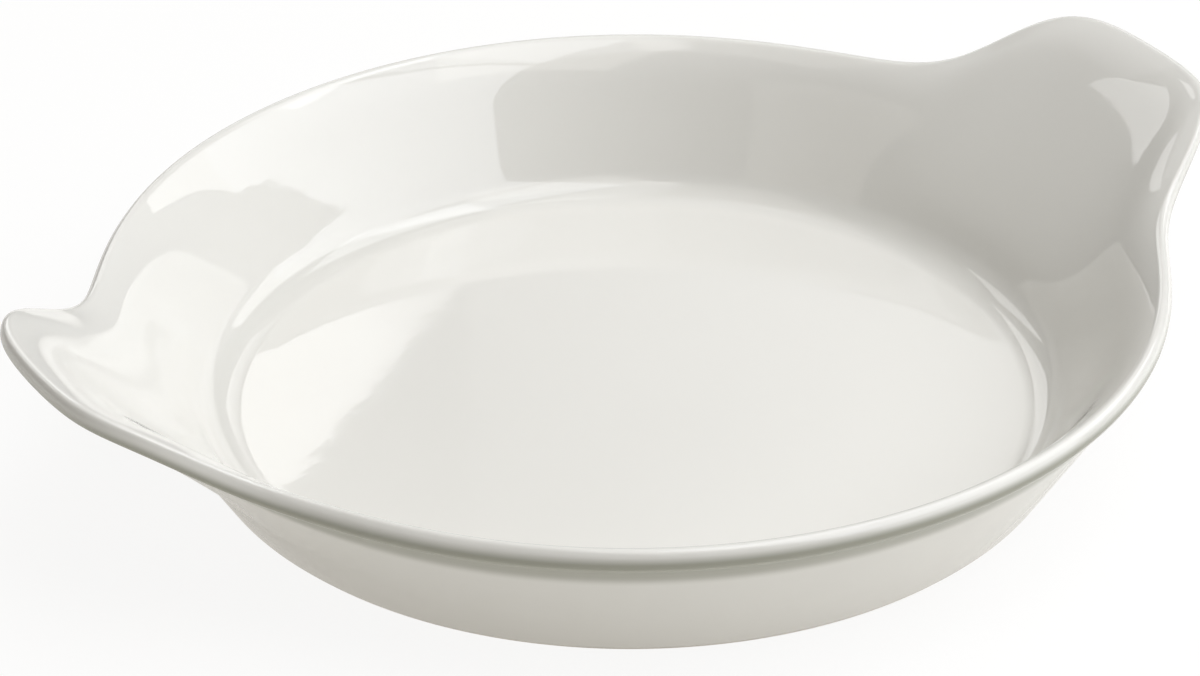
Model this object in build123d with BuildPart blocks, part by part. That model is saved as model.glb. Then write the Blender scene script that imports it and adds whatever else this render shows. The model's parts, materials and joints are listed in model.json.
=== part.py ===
from build123d import *
from math import asin, atan2, cos, degrees, hypot, radians, sin, sqrt, tan
import os

# Round eared gratin dish in glazed porcelain, millimetres, +Z up.
# The origin is the middle of the dish on the table top, and the ears lie along X.
# The dish is one fired casting, so its regions meet face to face with no gap between them.

# Driving dimensions: the bowl
rim_radius = 100.0      # middle of the rim bead, seen from above
rim_height = 30.9       # middle of the rim bead above the table, between the ears
base_radius = 83.0      # outer edge of the foot, where the wall's outside meets the table
floor_top = 5.0         # height of the floor inside
cove_radius = 9.7       # hollow curve between the floor and the wall
wall = 4.2              # thickness of the side wall
bead_stand_out = 0.8    # how far the rim's rolled bead stands proud of the wall's outside

# The foot: a bearing ring round a shallow recess
foot_height = 1.2
foot_width = 4.5
foot_edge_radius = 0.5

# The ears: the rim swells outwards and upwards over two short stretches
ear_reach = 22.2        # how far the rim moves out at the middle of an ear
ear_rise = 14.8         # how far it climbs there
ear_half_angle = 15.7   # degrees from the ear's middle to where the swelling is half
ear_end_angle = 45.0    # degrees from the ear's middle to where the plain rim begins
ear_reach_power = 5     # a larger power gives squarer corners
ear_rise_power = 6
ear_step_count = 24     # steps between the radial sections along one ear
plain_rise = 2.4        # height of plain wall between the cove and the start of the flare
flare_handle = 10.0     # length over which the flare still leans towards the plain wall's line

right_angle = 90
straight_angle = 180

# The wall's outside is a straight line that the bead stands proud of
bead_radius = (wall + bead_stand_out) / 2
bead_inset = bead_radius - bead_stand_out
span = hypot(rim_radius - base_radius, rim_height)
lean = atan2(rim_radius - base_radius, rim_height) + asin(bead_inset / span)
neck = sqrt(bead_radius**2 - bead_inset**2)


def outer_radius(height):
    """Radius of the plain wall's outside at a height."""
    return base_radius + height * tan(lean)


def inner_radius(height):
    """Radius of the plain wall's inside at a height."""
    return outer_radius(height) - wall / cos(lean)


# The cove touches the floor and the wall's inside, which sets how wide the flat floor is
cove_run = cove_radius * tan(radians(right_angle) / 2 - lean / 2)
floor_radius = inner_radius(floor_top) - cove_run
cove_top = floor_top + cove_run * cos(lean)
flare_start = cove_top + plain_rise


def swell(angle, power):
    """Share of the ear's full size at an angle from its middle, 1 there and 0 where it ends."""
    bell = 1 / (1 + abs(angle / ear_half_angle) ** power)
    tail = 1 / (1 + (ear_end_angle / ear_half_angle) ** power)
    return (bell - tail) / (1 - tail)


def swell_rate(angle, power):
    """How fast the share falls away from the ear's middle, per radian."""
    bell = 1 / (1 + abs(angle / ear_half_angle) ** power)
    tail = 1 / (1 + (ear_end_angle / ear_half_angle) ** power)
    climb = power * abs(angle / ear_half_angle) ** (power - 1)
    return climb * bell**2 / radians(ear_half_angle) / (1 - tail)


def bead_centre(angle):
    """Middle of the bead in the radial plane at an angle."""
    radius = rim_radius + ear_reach * swell(angle, ear_reach_power)
    height = rim_height + ear_rise * swell(angle, ear_rise_power)
    return Vector(radius, height)


def bead_stretch(angle):
    """A radial plane cuts the bead at a slant where the rim runs out to the ear's tip."""
    radius = bead_centre(angle).X
    outwards = ear_reach * swell_rate(angle, ear_reach_power)
    upwards = ear_rise * swell_rate(angle, ear_rise_power)
    return sqrt(radius**2 + outwards**2 + upwards**2) / radius


def wall_line(angle):
    """The bend and the end of the wall's line through the bead, and its directions before and after."""
    up = Vector(sin(lean), cos(lean))
    start = Vector(outer_radius(flare_start) - bead_inset / cos(lean), flare_start)
    bend = start + up * flare_handle
    end = bead_centre(angle)
    return bend, end, up, (end - bend).normalized()


def across(direction):
    """The direction square to the wall and away from the bowl."""
    return Vector(direction.Y, -direction.X)


def bead_seat(angle):
    """Where the bead meets the inside and the outside of the wall."""
    _, end, _, tip = wall_line(angle)
    inside = end - across(tip) * bead_radius
    outside = end + across(tip) * bead_inset - tip * neck * bead_stretch(angle)
    return inside, outside


def radial_plane(angle):
    """The upright plane through the dish's axis at an angle from +X."""
    return Plane.XZ.rotated((0, 0, angle))


def wall_section(angle, side):
    """The wall from the start of the flare to the bead, as a face in a radial plane."""
    bend, _, up, tip = wall_line(angle)
    mitre = (across(up) + across(tip)) / (1 + across(up).dot(across(tip)))
    inside, outside = bead_seat(angle)
    low_inside = Vector(inner_radius(flare_start), flare_start)
    low_outside = Vector(outer_radius(flare_start), flare_start)
    with BuildSketch(radial_plane(angle + side)) as section:
        with BuildLine():
            Line(low_inside, low_outside)
            Bezier(low_outside, bend + mitre * bead_inset, outside)
            Line(outside, inside)
            Bezier(inside, bend - mitre * bead_radius, low_inside)
        make_face()
    return section.sketch


def bead_section(angle, side):
    """The rim bead as a face in a radial plane, cut flat where it sits on the wall."""
    _, end, _, tip = wall_line(angle)
    inside, outside = bead_seat(angle)
    slant = degrees(atan2(tip.Y, tip.X))
    length = bead_radius * bead_stretch(angle)
    under = degrees(asin(bead_inset / bead_radius)) - straight_angle
    half_arc = (right_angle - under) / 2
    with BuildSketch(radial_plane(angle + side)) as section:
        with BuildLine():
            for begin in (under, under + half_arc):
                EllipticalCenterArc(
                    end, length, bead_radius, begin, arc_size=half_arc, rotation=slant
                )
            Line(inside, outside)
        make_face()
    return section.sketch


# The sections of both ears, and those at their ends, which the plain wall and rim carry on
right_side = 0
left_side = straight_angle
sides = (right_side, left_side)
step_angle = 2 * ear_end_angle / ear_step_count
ear_angles = [step * step_angle - ear_end_angle for step in range(ear_step_count + 1)]
plain_angle = straight_angle - 2 * ear_end_angle
right_walls = [wall_section(angle, right_side) for angle in ear_angles]
left_walls = [wall_section(angle, left_side) for angle in ear_angles]
ear_beads = [[bead_section(angle, side) for angle in ear_angles] for side in sides]
plain_walls = [wall_section(ear_end_angle, side) for side in sides]
plain_beads = [bead_section(ear_end_angle, side) for side in sides]

# The flat floor of the bowl, a plain disc inside the cove
with BuildPart() as well_floor:
    with BuildSketch(Plane.XY.offset(foot_height)):
        Circle(floor_radius)
    extrude(amount=floor_top - foot_height)
well_floor.part.label = "well_floor"

# The bearing ring that the dish stands on, left bare of glaze
with BuildPart() as foot_ring:
    with BuildSketch(Plane.XZ):
        with BuildLine():
            Polyline(
                (base_radius - foot_width, 0),
                (base_radius, 0),
                (outer_radius(foot_height), foot_height),
                (base_radius - foot_width, foot_height),
                close=True,
            )
        make_face()
    revolve(axis=Axis.Z)
    edges_on_table = foot_ring.edges().filter_by(GeomType.CIRCLE).group_by(Axis.Z)[0]
    fillet(edges_on_table, radius=foot_edge_radius)
foot_ring.part.label = "foot_ring"

# The side wall: a closed ring with the cove up to the flare, then two plain arcs between the ears
cove_end = (inner_radius(cove_top), cove_top)
with BuildPart() as side_wall:
    with BuildSketch(Plane.XZ):
        with BuildLine():
            Polyline(
                cove_end,
                (inner_radius(flare_start), flare_start),
                (outer_radius(flare_start), flare_start),
                (outer_radius(foot_height), foot_height),
                (floor_radius, foot_height),
                (floor_radius, floor_top),
            )
            TangentArc((floor_radius, floor_top), cove_end, tangent=(1, 0))
        make_face()
    revolve(axis=Axis.Z)
    for plain_wall in plain_walls:
        revolve(plain_wall, axis=Axis.Z, revolution_arc=plain_angle)
side_wall.part.label = "side_wall"

# The two ears, each lofted through radial sections from the start of the flare up to the bead
with BuildPart() as right_ear:
    loft(right_walls)
right_ear.part.label = "right_ear"

with BuildPart() as left_ear:
    loft(left_walls)
left_ear.part.label = "left_ear"

# The rolled bead, one closed ring along the whole rim and round both ears
with BuildPart() as rim_bead:
    for ear_bead in ear_beads:
        loft(ear_bead)
    for plain_bead in plain_beads:
        revolve(plain_bead, axis=Axis.Z, revolution_arc=plain_angle)
rim_bead.part.label = "rim_bead"

os.makedirs("parts", exist_ok=True)
for piece in (well_floor, foot_ring, side_wall, right_ear, left_ear, rim_bead):
    export_step(piece.part, f"parts/{piece.part.label}.step")
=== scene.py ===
# %% [markdown]
# # A round eared gratin dish in white glazed porcelain
#
# The dish is one fired casting: a flat floor, a flared wall, a rolled bead along the rim,
# and two ears where the rim sweeps out and up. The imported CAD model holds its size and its
# regions. This lesson makes the finished surface round that model: one seamless glazed
# body, the bare ring under it, and a plain studio to see them in.

import json
from math import acos, asin, atan2, cos, degrees, hypot, pi, radians, sin, sqrt, tan

import bpy
import numpy as np
from mathutils import Matrix, Vector

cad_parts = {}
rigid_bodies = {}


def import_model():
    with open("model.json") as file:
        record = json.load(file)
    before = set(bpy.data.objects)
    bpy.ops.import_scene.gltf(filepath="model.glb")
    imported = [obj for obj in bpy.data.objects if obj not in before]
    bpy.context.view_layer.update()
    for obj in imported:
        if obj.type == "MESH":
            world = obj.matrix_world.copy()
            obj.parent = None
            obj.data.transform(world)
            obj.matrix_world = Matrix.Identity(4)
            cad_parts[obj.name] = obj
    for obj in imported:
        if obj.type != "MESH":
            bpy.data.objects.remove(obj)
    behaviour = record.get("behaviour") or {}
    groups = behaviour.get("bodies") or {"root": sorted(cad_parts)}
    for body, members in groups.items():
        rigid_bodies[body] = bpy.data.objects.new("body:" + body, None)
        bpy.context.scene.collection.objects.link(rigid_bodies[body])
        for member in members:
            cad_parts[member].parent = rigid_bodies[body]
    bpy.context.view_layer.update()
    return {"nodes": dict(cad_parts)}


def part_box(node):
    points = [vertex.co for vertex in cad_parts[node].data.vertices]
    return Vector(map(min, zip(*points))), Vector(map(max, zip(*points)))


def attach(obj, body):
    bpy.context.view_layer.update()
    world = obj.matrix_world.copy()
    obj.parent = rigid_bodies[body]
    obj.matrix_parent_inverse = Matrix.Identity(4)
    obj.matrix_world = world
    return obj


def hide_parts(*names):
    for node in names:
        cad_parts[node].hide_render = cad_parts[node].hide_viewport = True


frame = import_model()
print("CAD nodes:", sorted(frame["nodes"]))

# %% [markdown]
# ## Measures
#
# Blender works in metres and a potter works in millimetres, so `mm` turns one into the
# other. What the frame can say, such as the height of the floor, is read from the CAD
# nodes. The few sizes that a box can't show are written here, and the bead's own radius
# is taken off the rim's box to find the line that its middle follows.

# %% Sizes from the frame
mm = 0.001
floor_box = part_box("well_floor")
foot_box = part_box("foot_ring")
rim_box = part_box("rim_bead")

foot_height = floor_box[0].z
floor_top = floor_box[1].z
floor_radius = floor_box[1].x

wall = 4.2 * mm
bead_stand_out = 0.8 * mm
bead_radius = (wall + bead_stand_out) / 2
rim_radius = rim_box[1].y - bead_radius
rim_height = 30.9 * mm
base_radius = 83.0 * mm
cove_radius = 9.7 * mm
foot_width = 4.5 * mm
print(f"rim middle {rim_radius / mm:.1f} mm out, flat floor {floor_radius / mm:.1f} mm out")

# %% Sizes of the ears
ear_reach = 22.2 * mm
ear_rise = 14.8 * mm
ear_half_angle = 15.7
ear_end_angle = 45.0
ear_reach_power = 5
ear_rise_power = 6
plain_rise = 2.4 * mm
flare_handle = 10.0 * mm

# %% [markdown]
# ## The plain wall
#
# Seen in section, the outside of the wall is a straight line from the foot to the rim, and
# the bead stands a little proud of it. Two lengths fix that line, so its lean is worked
# out rather than typed. The cove is the hollow curve that joins wall and floor.

# %% The wall's lean and the cove
bead_inset = bead_radius - bead_stand_out
rim_run = rim_radius - base_radius
lean = atan2(rim_run, rim_height) + asin(bead_inset / hypot(rim_run, rim_height))


def outer_radius(height):
    return base_radius + height * tan(lean)


def inner_radius(height):
    return outer_radius(height) - wall / cos(lean)


cove_sweep = pi / 2 - lean
cove_run = cove_radius * tan(cove_sweep / 2)
cove_top = floor_top + cove_run * cos(lean)
flare_start = cove_top + plain_rise
print(f"wall leans out {degrees(lean):.1f} degrees, cove ends {cove_top / mm:.1f} mm up")

# %% [markdown]
# ## The line of the rim
#
# The rim is a circle that swells outwards and upwards over each ear. A bell-shaped formula
# does this with few numbers: a half-way angle, and a power that says how square the
# corners of the ear are. Points typed by hand would give a lumpy edge, and a glossy glaze
# shows every lump.


# %% The swelling of the ears
def swell(angle, power):
    """Share of the ear's full size, and how fast it falls away, per radian."""
    ratio = abs(angle) / ear_half_angle
    tail = 1 / (1 + (ear_end_angle / ear_half_angle) ** power)
    bell = 1 / (1 + ratio**power)
    if bell < tail:
        return 0.0, 0.0
    rate = power * ratio ** (power - 1) * bell**2 / radians(ear_half_angle)
    return (bell - tail) / (1 - tail), rate / (1 - tail)


def rim_point(angle):
    """Middle of the bead in the radial plane, and how much that plane stretches it."""
    out, out_rate = swell(angle, ear_reach_power)
    lift, lift_rate = swell(angle, ear_rise_power)
    radius = rim_radius + ear_reach * out
    slide = hypot(ear_reach * out_rate, ear_rise * lift_rate)
    return np.array([radius, rim_height + ear_rise * lift]), hypot(radius, slide) / radius


print(f"ear tip {rim_point(0)[0] / mm} mm, plain rim {rim_point(90)[0] / mm} mm")

# %% [markdown]
# ## One section through the dish
#
# The body could be a revolved profile with ears pushed out by sculpting, but then the wall
# would thin where it is pulled. Here every section is drawn on its own, in a plane through
# the dish's axis: floor, cove, a curved wall, the round bead, a soft crease below it, and
# the outside back down to the foot. Just under the bead both faces of the wall bend a
# little towards each other, so the wall is thinnest there. Every section has the same
# number of points, so the sections can be skinned together without a seam.


# %% Small curve helpers
def curve(start, handle, end, shares):
    """A quadratic Bezier curve at the given shares of its length."""
    t = np.asarray(shares, float)[:, None]
    return (1 - t) ** 2 * start + 2 * t * (1 - t) * handle + t**2 * end


def crossing(point, along, other, other_along):
    """Where two lines in the section meet."""
    gap = other - point
    turn = along[0] * other_along[1] - along[1] * other_along[0]
    return point + along * (gap[0] * other_along[1] - gap[1] * other_along[0]) / turn


def across(direction):
    """Square to a direction in the section, away from the bowl."""
    return np.array([direction[1], -direction[0]])


def flared(points, mouth, sideways, depth, reach):
    """Bends the last stretch of wall sideways, most at the rim and fading out below it."""
    below = np.linalg.norm(points - mouth, axis=1)
    fade = np.clip(1 - below / reach, 0, 1) ** 3
    return points + sideways * depth * fade[:, None]


def eased(share):
    """Runs from 0 to 1 with a soft start and a soft end."""
    share = np.clip(share, 0, 1)
    return share * share * (3 - 2 * share)


print("halfway along, the soft start and end give", eased(0.5))

# %% How finely each stretch is drawn
floor_shares = (0.04, 0.15, 0.3, 0.45, 0.6, 0.72, 0.82, 0.9, 0.96)
under_shares = (0.985, 0.95, 0.9, 0.8, 0.65, 0.45, 0.25, 0.04)
cove_steps = 14
wall_steps = 32
bead_steps = 26
crease_steps = 10
outside_steps = 22
rows_crowd = 1.7
print(f"{wall_steps} rows up the inside and {bead_steps} round the bead")

# %% The floor and the cove, which are the same in every section
floor_line = [(share * floor_radius, floor_top) for share in floor_shares]
cove_middle = floor_top + cove_radius
cove_line = [(floor_radius + cove_radius * sin(turn), cove_middle - cove_radius * cos(turn))
             for turn in np.linspace(0, cove_sweep, cove_steps + 1)]
# Painted shade in the cove: a share of the dark colour, most at the cove's middle
cove_shade = 0.12
cove_painted_shade = cove_shade * np.sin(np.linspace(0, pi, len(cove_line))) ** 2
print(f"the cove ends {cove_line[-1][0] / mm:.1f} mm out")


# %% Where the wall bends, and which way the bead stands
wall_up = np.array([sin(lean), cos(lean)])


def wall_frame(angle):
    """The bead's middle, the wall's bend, the way from bend to bead, the mitre, the stretch."""
    centre, stretch = rim_point(angle)
    start = np.array([outer_radius(flare_start) - bead_inset / cos(lean), flare_start])
    bend = start + wall_up * flare_handle
    tip = (centre - bend) / np.linalg.norm(centre - bend)
    mitre = (across(wall_up) + across(tip)) / (1 + across(wall_up) @ across(tip))
    return centre, bend, tip, mitre, stretch


print("the bead stands along", wall_frame(0)[2], "at the ears")

# %% The inside of the wall
inner_flare = 1.0 * mm
inner_reach = 11.0 * mm


def inner_wall(centre, bend, tip, mitre):
    """From the straight wall up to the bead, with rows crowding towards the bead."""
    low = np.array([inner_radius(flare_start), flare_start])
    mouth = centre - across(tip) * bead_radius
    shares = 1 - (1 - np.linspace(0, 1, wall_steps + 1)[:-1]) ** rows_crowd
    plain = curve(low, bend - mitre * bead_radius, mouth, shares)
    return flared(plain, mouth, across(tip), inner_flare, inner_reach)


# %% The bead, and the painted shade on its outer side
crease_angle = 138
# Painted shade on the bead's outer side: it starts at this turn from the crown and is full at the next
shade_start = 22
shade_full = 66


def round_bead(centre, tip, stretch):
    """The bead from inside to outside, with its crown at 0 degrees, and its share of painted shade."""
    # Inside, it is the oval that the flared wall just touches
    steepness = 3 * inner_flare / inner_reach
    crown = bead_radius * stretch
    inner_gap = bead_radius - inner_flare
    inner_width = sqrt(inner_gap**2 - (steepness * crown) ** 2)
    first_turn = -degrees(acos(steepness * crown / inner_gap))
    turns = np.linspace(first_turn, crease_angle, bead_steps + 1)
    points = []
    for turn in turns:
        half_width = bead_radius if turn > 0 else inner_width
        outwards = across(tip) * sin(radians(turn)) * half_width
        points.append(centre + tip * cos(radians(turn)) * crown + outwards)
    return points, eased((turns - shade_start) / (shade_full - shade_start))


# %% The outside of the wall, which runs up under the bead
outer_flare = 0.8 * mm
outer_reach = 8.0 * mm
crease_reach = 3.0 * mm
# Painted shade in the crease under the bead, fading out over this reach down the wall
crease_shade = 0.75
shade_reach = 3.2 * mm


def outer_wall(centre, bend, tip, mitre, stretch):
    """From just under the bead down to the straight wall, and its share of painted shade there."""
    low = np.array([outer_radius(flare_start), flare_start])
    neck = sqrt(bead_radius**2 - bead_inset**2) * stretch
    corner = centre + across(tip) * bead_inset - tip * neck
    outer_bend = bend + mitre * bead_inset
    first_share = 1 - crease_reach / (2 * np.linalg.norm(corner - outer_bend))
    shares = np.linspace(first_share, 0, outside_steps + 1)
    plain = curve(low, outer_bend, corner, shares)
    points = flared(plain, corner, -across(tip), outer_flare, outer_reach)
    below = np.linalg.norm(points - points[0], axis=1)
    return points, crease_shade * eased(1 - below / shade_reach)


# %% The soft crease between bead and wall
def soft_crease(bead_end, outside, tip, stretch):
    """A small curve that leaves the bead along its surface and meets the wall along its own."""
    turn = radians(crease_angle)
    bead_along = across(tip) * cos(turn) - tip * stretch * sin(turn)
    handle = crossing(bead_end, bead_along, outside[0], outside[1] - outside[0])
    points = curve(bead_end, handle, outside[0], np.linspace(0, 1, crease_steps + 1)[1:-1])
    # Painted shade: full where the bead ends, falling to the crease's share at the wall
    return points, np.linspace(1, crease_shade, len(points))


# %% The glaze's lower edge and the underside
glaze_roll = 0.5 * mm
glaze_lift = 0.25 * mm
edge_low = foot_height + glaze_roll
edge_turn = foot_height + glaze_roll / 3
edge_line = [(outer_radius(edge_low), edge_low),
             (outer_radius(edge_turn) - glaze_roll / 4, edge_turn),
             (outer_radius(foot_height) - glaze_roll * 2 / 3, foot_height)]
under_line = [(share * floor_radius, foot_height) for share in under_shares]
print(f"the glaze stops {foot_height / mm:.1f} mm above the table")


# %% The whole section
def section(angle):
    """Radius and height of each point, and its share of painted shade, from 0 to 1."""
    centre, bend, tip, mitre, stretch = wall_frame(angle)
    bead, bead_shade = round_bead(centre, tip, stretch)
    outside, wall_shade = outer_wall(centre, bend, tip, mitre, stretch)
    crease, soft_crease_shade = soft_crease(bead[-1], outside, tip, stretch)
    stretches = [(floor_line, 0), (cove_line, cove_painted_shade),
                 (inner_wall(centre, bend, tip, mitre), 0), (bead, bead_shade),
                 (crease, soft_crease_shade), (outside, wall_shade), (edge_line, 0), (under_line, 0)]
    line = np.vstack([points for points, shade_share in stretches])
    depth = np.hstack([np.broadcast_to(shade_share, len(points)) for points, shade_share in stretches])
    return line, depth


profile, profile_shade = section(0)
print(f"{len(profile)} points in a section, reaching {profile[:, 0].max() / mm:.1f} mm out")

# %% [markdown]
# ## Skinning the sections
#
# A loft in a modelling program would join the sections with one surface. In mesh code the
# same thing is a grid: each section is a column of points, and neighbouring columns are
# joined by quads. Two fans of triangles close the middle of the floor, above and below.
# The share of painted shade goes along as a point attribute, for the material to read.


# %% A helper that turns rings of points into a closed mesh
def smooth_mesh(name, points, faces):
    mesh = bpy.data.meshes.new(name)
    mesh.from_pydata(points, [], faces)
    mesh.update()
    mesh.shade_smooth()
    piece = bpy.data.objects.new(name, mesh)
    bpy.context.scene.collection.objects.link(piece)
    return piece


def ring_faces(around, along, closed):
    """Quads between neighbouring columns. A closed section also joins its last row to its first."""
    column = np.arange(around)[:, None] * along
    following = (np.arange(around)[:, None] + 1) % around * along
    row = np.arange(along if closed else along - 1)[None, :]
    after = (row + 1) % along
    corners = (column + row, column + after, following + after, following + row)
    return np.stack([c.ravel() for c in corners], axis=1).tolist()


# %% How many sections, and how each one turns
around = 600
angles = np.arange(around) * 360 / around


def from_ear(angle):
    """Degrees from the middle of the nearer ear."""
    return abs((angle + 90) % 180 - 90)


def turned(line, angle):
    """A section's points, turned round the dish's axis to an angle."""
    turn = radians(angle)
    return np.stack([line[:, 0] * cos(turn), line[:, 0] * sin(turn), line[:, 1]], axis=1)


print(f"a section every {angles[1]:.1f} degrees")

# %% The glazed body
sag = 0.12 * mm


def sagged(line):
    """The kiln lets the middle of the floor sink a little, and the underside is hollow."""
    sink = sag * (1 - (np.minimum(line[:, 0], floor_radius) / floor_radius) ** 2)
    height = line[:, 1] - np.where(line[:, 1] > foot_height, sink, -sink)
    return np.stack([line[:, 0], height], axis=1)


def glazed_body():
    columns = []
    shade_columns = []
    for angle in angles:
        line, depth = section(from_ear(angle))
        columns.append(turned(sagged(line), angle))
        shade_columns.append(depth)
    points = np.vstack(columns)
    along = len(columns[0])
    faces = ring_faces(around, along, closed=False)
    top_middle = len(points)
    middles = [(0, 0, floor_top - sag), (0, 0, foot_height + sag)]
    for j in range(around):
        following = (j + 1) % around
        faces.append((top_middle, j * along, following * along))
        faces.append((top_middle + 1, (following + 1) * along - 1, (j + 1) * along - 1))
    body = smooth_mesh("glazed_body", np.vstack([points, middles]).tolist(), faces)
    # Painted shade: each point's share of the dark colour, stored for the material
    shade_share = body.data.attributes.new("painted_shade_amount", "FLOAT", "POINT")
    shade_share.data.foreach_set("value", np.concatenate(shade_columns + [[0, 0]]).astype(np.float32))
    return body


body = glazed_body()
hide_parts("well_floor", "side_wall", "rim_bead", "left_ear", "right_ear")
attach(body, "root")
print(f"glazed body: {len(body.data.vertices)} points, {len(body.data.polygons)} faces")

# %% [markdown]
# ## The bare foot
#
# Glaze melts in the kiln and would weld the dish to the shelf, so the potter wipes the ring
# that it stands on. That ring is its own small closed section, a hair narrower than the
# glazed wall above it, with a rounded heel outside and an eased edge inside.

# %% The bearing ring
foot_ease = 0.45 * mm
heel_ease = 1.3 * mm
foot_inner = base_radius - foot_width


def foot_section():
    outer_top = np.array([outer_radius(foot_height) - glaze_lift * 2, foot_height])
    corner = np.array([base_radius - glaze_lift, 0.0])
    heel_end = corner - np.array([heel_ease, 0.0])
    heel = curve(outer_top, corner, heel_end, np.linspace(0, 1, 8))
    flat = [(heel_end[0] + (foot_inner + foot_ease - heel_end[0]) * share, 0.0) for share in (0.3, 0.7)]
    ease = [(1 - cos(radians(a)), 1 - sin(radians(a))) for a in (90, 67.5, 45, 22.5, 0)]
    inner = [(foot_inner + foot_ease * x, foot_ease * y) for x, y in ease]
    top = [(foot_inner, foot_height), (base_radius - foot_width / 2, foot_height)]
    return np.vstack([heel, flat, inner, top])


def bare_foot():
    line = foot_section()
    columns = [turned(line, angle) for angle in angles]
    faces = ring_faces(around, len(line), closed=True)
    return smooth_mesh("bare_foot", np.vstack(columns).tolist(), faces)


foot = bare_foot()
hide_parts("foot_ring")
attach(foot, "root")
print(f"bare foot: {len(foot.data.polygons)} faces, {foot.dimensions.x / mm:.1f} mm across")

# %% [markdown]
# ## The glaze
#
# Glazed porcelain is a matt white clay under a thin glass. A principled shader gives both:
# its base colour is the clay and its specular layer is the glass. Real glaze isn't quite
# even, and that is what makes it look real: it clouds a little, it ripples, and a few specks
# of iron burn through. Glaze gathers a little where the surface is hollow, and a dark colour
# is painted there as painted shade. Each of these is a small node chain that changes colour,
# roughness or bump.


# %% A helper for node trees
def new_material(name):
    material = bpy.data.materials.new(name)
    material.use_nodes = True
    return material, material.node_tree.nodes["Principled BSDF"]


def add_node(material, kind, **settings):
    """Adds a node. Names of its own settings set those, and other names set its inputs."""
    node = material.node_tree.nodes.new(kind)
    for key, value in settings.items():
        if hasattr(node, key):
            setattr(node, key, value)
        else:
            node.inputs[key.replace("_", " ").title()].default_value = value
    return node


def wire(material, source, target):
    material.node_tree.links.new(source, target)

# %% The clay's colour, clouded, and darker with painted shade in the hollows
white_clay = (0.785, 0.769, 0.720, 1)
clouded_clay = (0.768, 0.752, 0.702, 1)
# Painted shade: the dark colour mixed in by each point's share of shade
painted_shade_colour = (0.335, 0.333, 0.270, 1)


def clay_and_painted_shade(material, place):
    cloud = add_node(material, "ShaderNodeTexNoise", Scale=22.0, Detail=3.0, Roughness=0.5)
    wire(material, place, cloud.inputs["Vector"])
    tint = add_node(material, "ShaderNodeMix", data_type="RGBA")
    tint.inputs["A"].default_value = white_clay
    tint.inputs["B"].default_value = clouded_clay
    wire(material, cloud.outputs["Fac"], tint.inputs["Factor"])

    # Painted shade, mixed in by the share stored on each point
    shade_share = add_node(material, "ShaderNodeAttribute", attribute_name="painted_shade_amount")
    shaded_colour = add_node(material, "ShaderNodeMix", data_type="RGBA")
    shaded_colour.inputs["B"].default_value = painted_shade_colour
    wire(material, shade_share.outputs["Fac"], shaded_colour.inputs["Factor"])
    wire(material, tint.outputs["Result"], shaded_colour.inputs["A"])
    return shaded_colour.outputs["Result"]


# %% A few specks of iron
iron_speck = (0.36, 0.31, 0.25, 1)
speck_edge = 0.020
speck_core = 0.010
plain_share = 0.82


def iron_specks(material, place, colour):
    cells = add_node(material, "ShaderNodeTexVoronoi", Scale=70.0)
    wire(material, place, cells.inputs["Vector"])
    dot = add_node(material, "ShaderNodeMapRange", interpolation_type="SMOOTHSTEP")
    dot.inputs["From Min"].default_value = speck_edge
    dot.inputs["From Max"].default_value = speck_core
    wire(material, cells.outputs["Distance"], dot.inputs["Value"])
    rare = add_node(material, "ShaderNodeMath", operation="GREATER_THAN")
    rare.inputs[1].default_value = plain_share
    wire(material, cells.outputs["Color"], rare.inputs[0])
    speck = add_node(material, "ShaderNodeMath", operation="MULTIPLY")
    wire(material, dot.outputs["Result"], speck.inputs[0])
    wire(material, rare.outputs["Value"], speck.inputs[1])
    specked = add_node(material, "ShaderNodeMix", data_type="RGBA")
    specked.inputs["B"].default_value = iron_speck
    wire(material, speck.outputs["Value"], specked.inputs["Factor"])
    wire(material, colour, specked.inputs["A"])
    return specked.outputs["Result"]


# %% The gloss, a little hazy in places
clear_roughness = 0.02
hazy_roughness = 0.045


def hazy_gloss(material, place):
    haze = add_node(material, "ShaderNodeTexNoise", Scale=45.0, Detail=2.0)
    wire(material, place, haze.inputs["Vector"])
    gloss = add_node(material, "ShaderNodeMapRange")
    gloss.inputs["To Min"].default_value = clear_roughness
    gloss.inputs["To Max"].default_value = hazy_roughness
    wire(material, haze.outputs["Fac"], gloss.inputs["Value"])
    return gloss.outputs["Result"]


# %% Ripples, and a fine skin on them
ripple_depth = 0.025 * mm
skin_depth = 0.0045 * mm


def rippled_skin(material, place):
    ripple = add_node(material, "ShaderNodeTexNoise", Scale=75.0, Detail=1.5, Roughness=0.4)
    wire(material, place, ripple.inputs["Vector"])
    wave = add_node(material, "ShaderNodeBump", Strength=1.0, Distance=ripple_depth)
    wire(material, ripple.outputs["Fac"], wave.inputs["Height"])
    skin = add_node(material, "ShaderNodeTexNoise", Scale=420.0, Detail=1.0)
    wire(material, place, skin.inputs["Vector"])
    peel = add_node(material, "ShaderNodeBump", Strength=1.0, Distance=skin_depth)
    wire(material, skin.outputs["Fac"], peel.inputs["Height"])
    wire(material, wave.outputs["Normal"], peel.inputs["Normal"])
    return peel.outputs["Normal"]


# %% The glaze, put together
def glaze_material():
    material, shader = new_material("white_glaze")
    place = add_node(material, "ShaderNodeTexCoord").outputs["Object"]
    colour = clay_and_painted_shade(material, place)
    colour = iron_specks(material, place, colour)
    wire(material, colour, shader.inputs["Base Color"])
    wire(material, hazy_gloss(material, place), shader.inputs["Roughness"])
    wire(material, rippled_skin(material, place), shader.inputs["Normal"])
    shader.inputs["IOR"].default_value = 1.55
    return material


body.data.materials.append(glaze_material())
print("glaze nodes:", len(body.data.materials[0].node_tree.nodes))

# %% [markdown]
# ## The bare clay
#
# Where the glaze is wiped off, the clay shows: warmer, matt and finely grained, and a
# little grey where the ring has stood on shelves. Fine noise in colour and bump does this.

# %% The bare foot's material
bare_clay = (0.80, 0.765, 0.70, 1)
worn_clay = (0.66, 0.63, 0.58, 1)
grain_depth = 0.04 * mm


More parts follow.
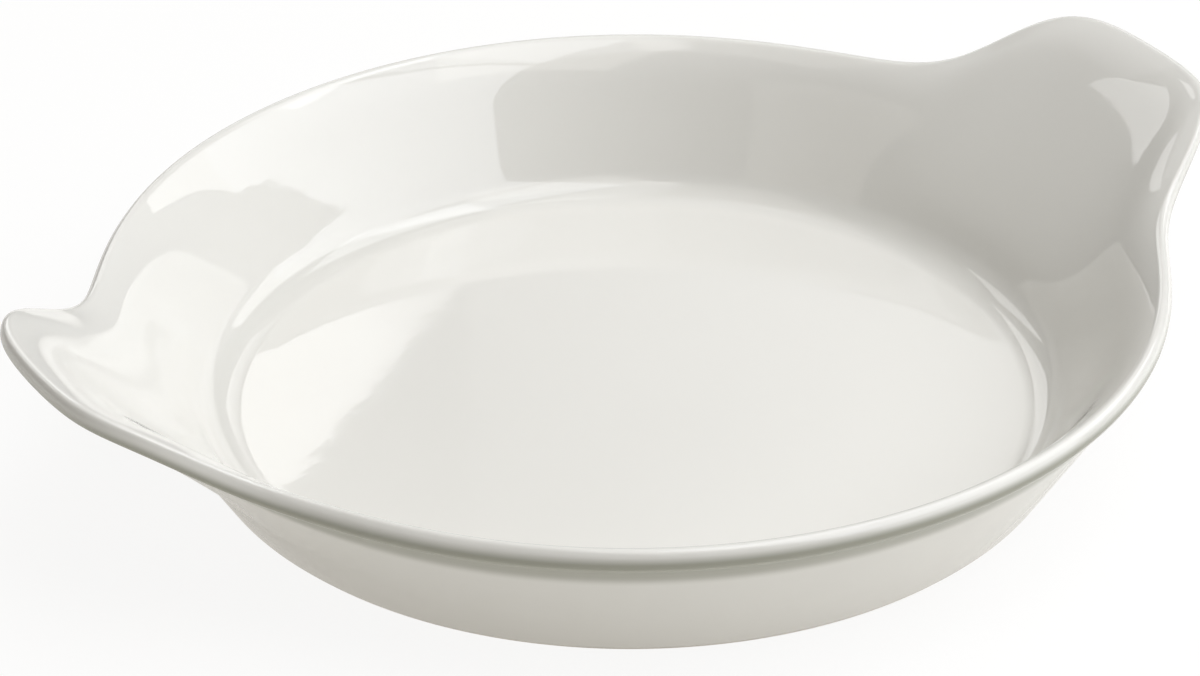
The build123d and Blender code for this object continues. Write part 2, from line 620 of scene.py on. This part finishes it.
def clay_material():
    material, shader = new_material("bare_clay")
    place = add_node(material, "ShaderNodeTexCoord").outputs["Object"]
    grain = add_node(material, "ShaderNodeTexNoise", Scale=900.0, Detail=4.0, Roughness=0.65)
    rub = add_node(material, "ShaderNodeTexNoise", Scale=60.0, Detail=3.0)
    wire(material, place, grain.inputs["Vector"])
    wire(material, place, rub.inputs["Vector"])
    both = add_node(material, "ShaderNodeMath", operation="MULTIPLY")
    wire(material, grain.outputs["Fac"], both.inputs[0])
    wire(material, rub.outputs["Fac"], both.inputs[1])
    spread = add_node(material, "ShaderNodeMapRange")
    spread.inputs["From Min"].default_value = 0.15
    spread.inputs["From Max"].default_value = 0.40
    wire(material, both.outputs["Value"], spread.inputs["Value"])
    tint = add_node(material, "ShaderNodeMix", data_type="RGBA")
    tint.inputs["A"].default_value = bare_clay
    tint.inputs["B"].default_value = worn_clay
    wire(material, spread.outputs["Result"], tint.inputs["Factor"])
    wire(material, tint.outputs["Result"], shader.inputs["Base Color"])
    bump = add_node(material, "ShaderNodeBump", Strength=0.6, Distance=grain_depth)
    wire(material, grain.outputs["Fac"], bump.inputs["Height"])
    wire(material, bump.outputs["Normal"], shader.inputs["Normal"])
    shader.inputs["Roughness"].default_value = 0.82
    return material


foot.data.materials.append(clay_material())
print("clay nodes:", len(foot.data.materials[0].node_tree.nodes))

# %% [markdown]
# ## The table
#
# A pale sweep under the dish bounces light up under the rim, and it also glows by itself, a
# painted light that lifts the dish from below. To the camera most of its colour is a plain
# white, and the rest is its true shading, so the dish's soft shadow stays on it.

# %% The floor
sweep_colour = (0.50, 0.50, 0.49, 1)
# Painted light: the floor glows in this colour for every ray, so it lights the dish from below
floor_glow_colour = (1.03, 1.0, 0.95, 1)


def studio_floor(half_width, shown_share, glow_strength, shown_white):
    corners = [(x * half_width, y * half_width, 0.0) for x, y in ((-1, -1), (1, -1), (1, 1), (-1, 1))]
    floor = smooth_mesh("studio_floor", corners, [(0, 1, 2, 3)])
    material, shader = new_material("studio_white")
    shader.inputs["Base Color"].default_value = sweep_colour
    shader.inputs["Emission Color"].default_value = floor_glow_colour
    shader.inputs["Emission Strength"].default_value = glow_strength
    shader.inputs["Roughness"].default_value = 0.9
    shader.inputs["Specular IOR Level"].default_value = 0.0
    path = add_node(material, "ShaderNodeLightPath")
    white = add_node(material, "ShaderNodeEmission", Strength=shown_white)
    share = add_node(material, "ShaderNodeMath", operation="MULTIPLY")
    share.inputs[1].default_value = shown_share
    wire(material, path.outputs["Is Camera Ray"], share.inputs[0])
    blend = add_node(material, "ShaderNodeMixShader")
    wire(material, share.outputs["Value"], blend.inputs["Fac"])
    wire(material, shader.outputs["BSDF"], blend.inputs[1])
    wire(material, white.outputs["Emission"], blend.inputs[2])
    output = material.node_tree.nodes["Material Output"]
    wire(material, blend.outputs["Shader"], output.inputs["Surface"])
    floor.data.materials.append(material)
    return floor


sweep = studio_floor(half_width=3.0, shown_share=0.80, glow_strength=0.43, shown_white=1.01)
print(f"floor {sweep.dimensions.x:.0f} m wide")

# %% [markdown]
# ## The camera
#
# A long lens from about 30 degrees up and 31 degrees round from the front. The direction,
# distance and slight roll were found by fitting the dish's rim, foot and floor to the
# outlines in the photograph, with the frame's width as 1200 and its height as 676.

# %% Place the camera
photo_width = 1200
focal_pixels = 4313
sensor_width = 36.0
camera_azimuth = radians(-30.66)
camera_height = radians(29.82)
camera_roll = radians(-0.49)
camera_distance = 867.6 * mm
camera_target = Vector((9.77, 28.82, 0)) * mm


def place_camera():
    flat = cos(camera_height)
    back = Vector((sin(camera_azimuth) * flat, -cos(camera_azimuth) * flat, sin(camera_height)))
    level = (-back).cross(Vector((0, 0, 1))).normalized()
    upright = level.cross(-back)
    right = level * cos(camera_roll) + upright * sin(camera_roll)
    above = upright * cos(camera_roll) - level * sin(camera_roll)
    camera_data = bpy.data.cameras.new("photo_camera")
    camera_data.sensor_width = sensor_width
    camera_data.lens = sensor_width * focal_pixels / photo_width
    camera_data.clip_start = 0.01
    camera = bpy.data.objects.new("photo_camera", camera_data)
    spin = Matrix((right, above, back)).transposed().to_4x4()
    camera.matrix_world = Matrix.Translation(camera_target + back * camera_distance) @ spin
    bpy.context.scene.collection.objects.link(camera)
    bpy.context.scene.camera = camera
    return camera


camera = place_camera()
print(f"lens {camera.data.lens:.1f} mm at {camera.location}")

# %% [markdown]
# ## The light
#
# A glossy dish shows whatever is round it, so the lamps are shaped and placed by what the
# glaze reflects. Each soft box faces the dish and is named by the way it lies from there:
# its azimuth, its height in degrees, and how far it is moved right or up in its own plane.
# Its brightness is what the glaze sees, and its power follows from that and its area.


# %% Soft boxes
def direction(azimuth, height):
    flat = cos(radians(height))
    return Vector((cos(radians(azimuth)) * flat, sin(radians(azimuth)) * flat, sin(radians(height))))


def facing_axes(azimuth, height, roll):
    """The way to a lamp, and its right and its up as seen from the dish."""
    way = direction(azimuth, height)
    level = way.cross(Vector((0, 0, 1))).normalized()
    upright = level.cross(way)
    right = level * cos(radians(roll)) + upright * sin(radians(roll))
    above = upright * cos(radians(roll)) - level * sin(radians(roll))
    return way, level, upright, right, above


def soft_box(name, azimuth, height, distance, wide, tall, brightness,
             roll=0, right=0, up=0, tint=(1, 1, 1)):
    way, level, upright, along, above = facing_axes(azimuth, height, roll)
    light = bpy.data.lights.new(name, "AREA")
    light.shape = "RECTANGLE"
    light.size = wide * distance
    light.size_y = tall * distance
    light.energy = brightness * 4 * light.size * light.size_y
    light.color = tint
    lamp = bpy.data.objects.new(name, light)
    spin = Matrix((-along, above, way)).transposed().to_4x4()
    lamp.matrix_world = Matrix.Translation((way + level * right + upright * up) * distance) @ spin
    bpy.context.scene.collection.objects.link(lamp)
    return lamp


# %% The key light, to the right of the camera: a long low part and two higher ones
key_azimuth = -45
key_height = 38
key_distance = 1.2
key_roll = 10.2
cool = (0.975, 1.0, 1.05)
warm = (1.04, 1.0, 0.93)
key = soft_box("key", key_azimuth, key_height, key_distance, 1.30, 0.58, 1.85,
               key_roll, right=-0.08, up=0.075, tint=cool)
soft_box("key_upper", key_azimuth, key_height, key_distance, 0.95, 0.60, 1.4,
         key_roll, up=0.72, tint=cool)
soft_box("key_top", key_azimuth, 80, key_distance, 0.9, 0.5, 0.68, tint=cool)
print(f"the long part is {key.data.size:.2f} x {key.data.size_y:.2f} m")

# %% Weaker boxes all round
fill_distance = 1.3
soft_box("low_right", -50, 12, key_distance, 0.9, 0.24, 1.5, tint=cool)
soft_box("front_right_high", -90, 65, fill_distance, 0.6, 0.5, 0.88, tint=warm)
soft_box("zenith", 135, 80, key_distance, 0.9, 0.5, 0.60, tint=warm)
soft_box("overhead", 0, 90, key_distance, 0.5, 0.5, 0.4)
soft_box("right_high", 0, 60, fill_distance, 0.5, 0.4, 1.5, tint=cool)
soft_box("back_high", 61, 62, fill_distance, 0.35, 0.4, 0.75)
soft_box("far_high", 85, 55, fill_distance, 0.7, 0.4, 0.3)
soft_box("left_up", -172, 37, fill_distance, 0.5, 0.3, 0.45, tint=warm)
soft_box("low_left", -170, 9, fill_distance, 0.8, 0.22, 0.35, tint=warm)
lamps = [thing for thing in bpy.data.objects if thing.type == "LIGHT"]
print(len(lamps), "soft boxes")

# %% [markdown]
# ## The cards round the dish
#
# A soft box is always a rectangle, and some of the bright shapes on this glaze aren't. A
# card is a flat sheet of any outline that glows by itself. One carries the key light on
# to the left, in a shape that gives the soft edge of the light on the far left wall. The
# flat floor mirrors what stands behind the dish, about 30 degrees up, so one card there
# gives the pale wedge on the floor's left, one the pale triangle on the right ear, and one
# that grows brighter from side to side gives the floor its slow change of tone.


# %% Glowing cards
def glowing_card(name, azimuth, height, distance, corners, brightness, grade=None):
    """A flat card. Each corner is a step to the right and a step up, seen from the dish."""
    way, level, upright, along, above = facing_axes(azimuth, height, 0)
    points = [(way + level * right + upright * up) * distance for right, up in corners]
    card = smooth_mesh(name, points, [tuple(range(len(points)))])
    material, shader = new_material(name)
    shader.inputs["Base Color"].default_value = (0, 0, 0, 1)
    shader.inputs["Emission Color"].default_value = (1, 1, 1, 1)
    shader.inputs["Emission Strength"].default_value = brightness
    if grade:
        # From one share of the card's width to another, its light changes between two levels
        (start, first_level), (end, last_level) = grade
        place = add_node(material, "ShaderNodeTexCoord").outputs["Generated"]
        split = add_node(material, "ShaderNodeSeparateXYZ")
        ramp = add_node(material, "ShaderNodeMapRange")
        ramp.inputs["From Min"].default_value = start
        ramp.inputs["From Max"].default_value = end
        ramp.inputs["To Min"].default_value = first_level * brightness
        ramp.inputs["To Max"].default_value = last_level * brightness
        wire(material, place, split.inputs["Vector"])
        wire(material, split.outputs["X"], ramp.inputs["Value"])
        wire(material, ramp.outputs["Result"], shader.inputs["Emission Strength"])
    card.data.materials.append(material)
    return card


# %% The card beside the key light
key_left_corners = ((-0.668, -0.325), (-0.771, 0.245), (-1.35, 0.257), (-1.41, -0.04), (-0.92, -0.18))
glowing_card("key_left", key_azimuth, key_height, key_distance, key_left_corners, 1.85)
print("the key's left card has", len(key_left_corners), "corners")

# %% The cards behind the dish
far_azimuth = 85
far_height = 28
wedge_corners = ((0.05, 0.24), (0.36, 0.035), (0.36, -0.30), (0.05, -0.10))
wedge_grade = ((0.80, 1), (0.90, 0.55))
ear_corners = ((-0.47, 0.33), (-0.11, 0.205), (-0.15, -0.17))
floor_corners = ((-0.06, -0.08), (-0.06, 0.12), (0.18, 0.12), (0.18, -0.08))
floor_grade = ((0, 0), (1, 1))
glowing_card("wedge_card", far_azimuth, far_height, fill_distance, wedge_corners, 1.8, grade=wedge_grade)
glowing_card("ear_card", far_azimuth, far_height, fill_distance, ear_corners, 1.85)
glowing_card("graded_card", 59, 30, fill_distance, floor_corners, 1.55, grade=floor_grade)
print("three cards stand behind the dish")

# %% [markdown]
# ## The room, and the last settings
#
# Where the glaze mirrors neither a lamp nor a card it shows the room, which is nearly dark,
# so that the bright shapes keep their edges. The Standard view renders a colour about as it
# is written. The finished surface has to stay inside the imported one.


# %% The room
def studio_room(strength):
    world = bpy.data.worlds.new("studio_room")
    world.use_nodes = True
    tree = world.node_tree
    room = tree.nodes["Background"]
    room.inputs["Color"].default_value = (1, 1, 1, 1)
    room.inputs["Strength"].default_value = strength
    bpy.context.scene.world = world
    return world


room = studio_room(strength=0.02)
print("room:", room.name)

# %% Colours as they are written
bpy.context.scene.view_settings.view_transform = "Standard"
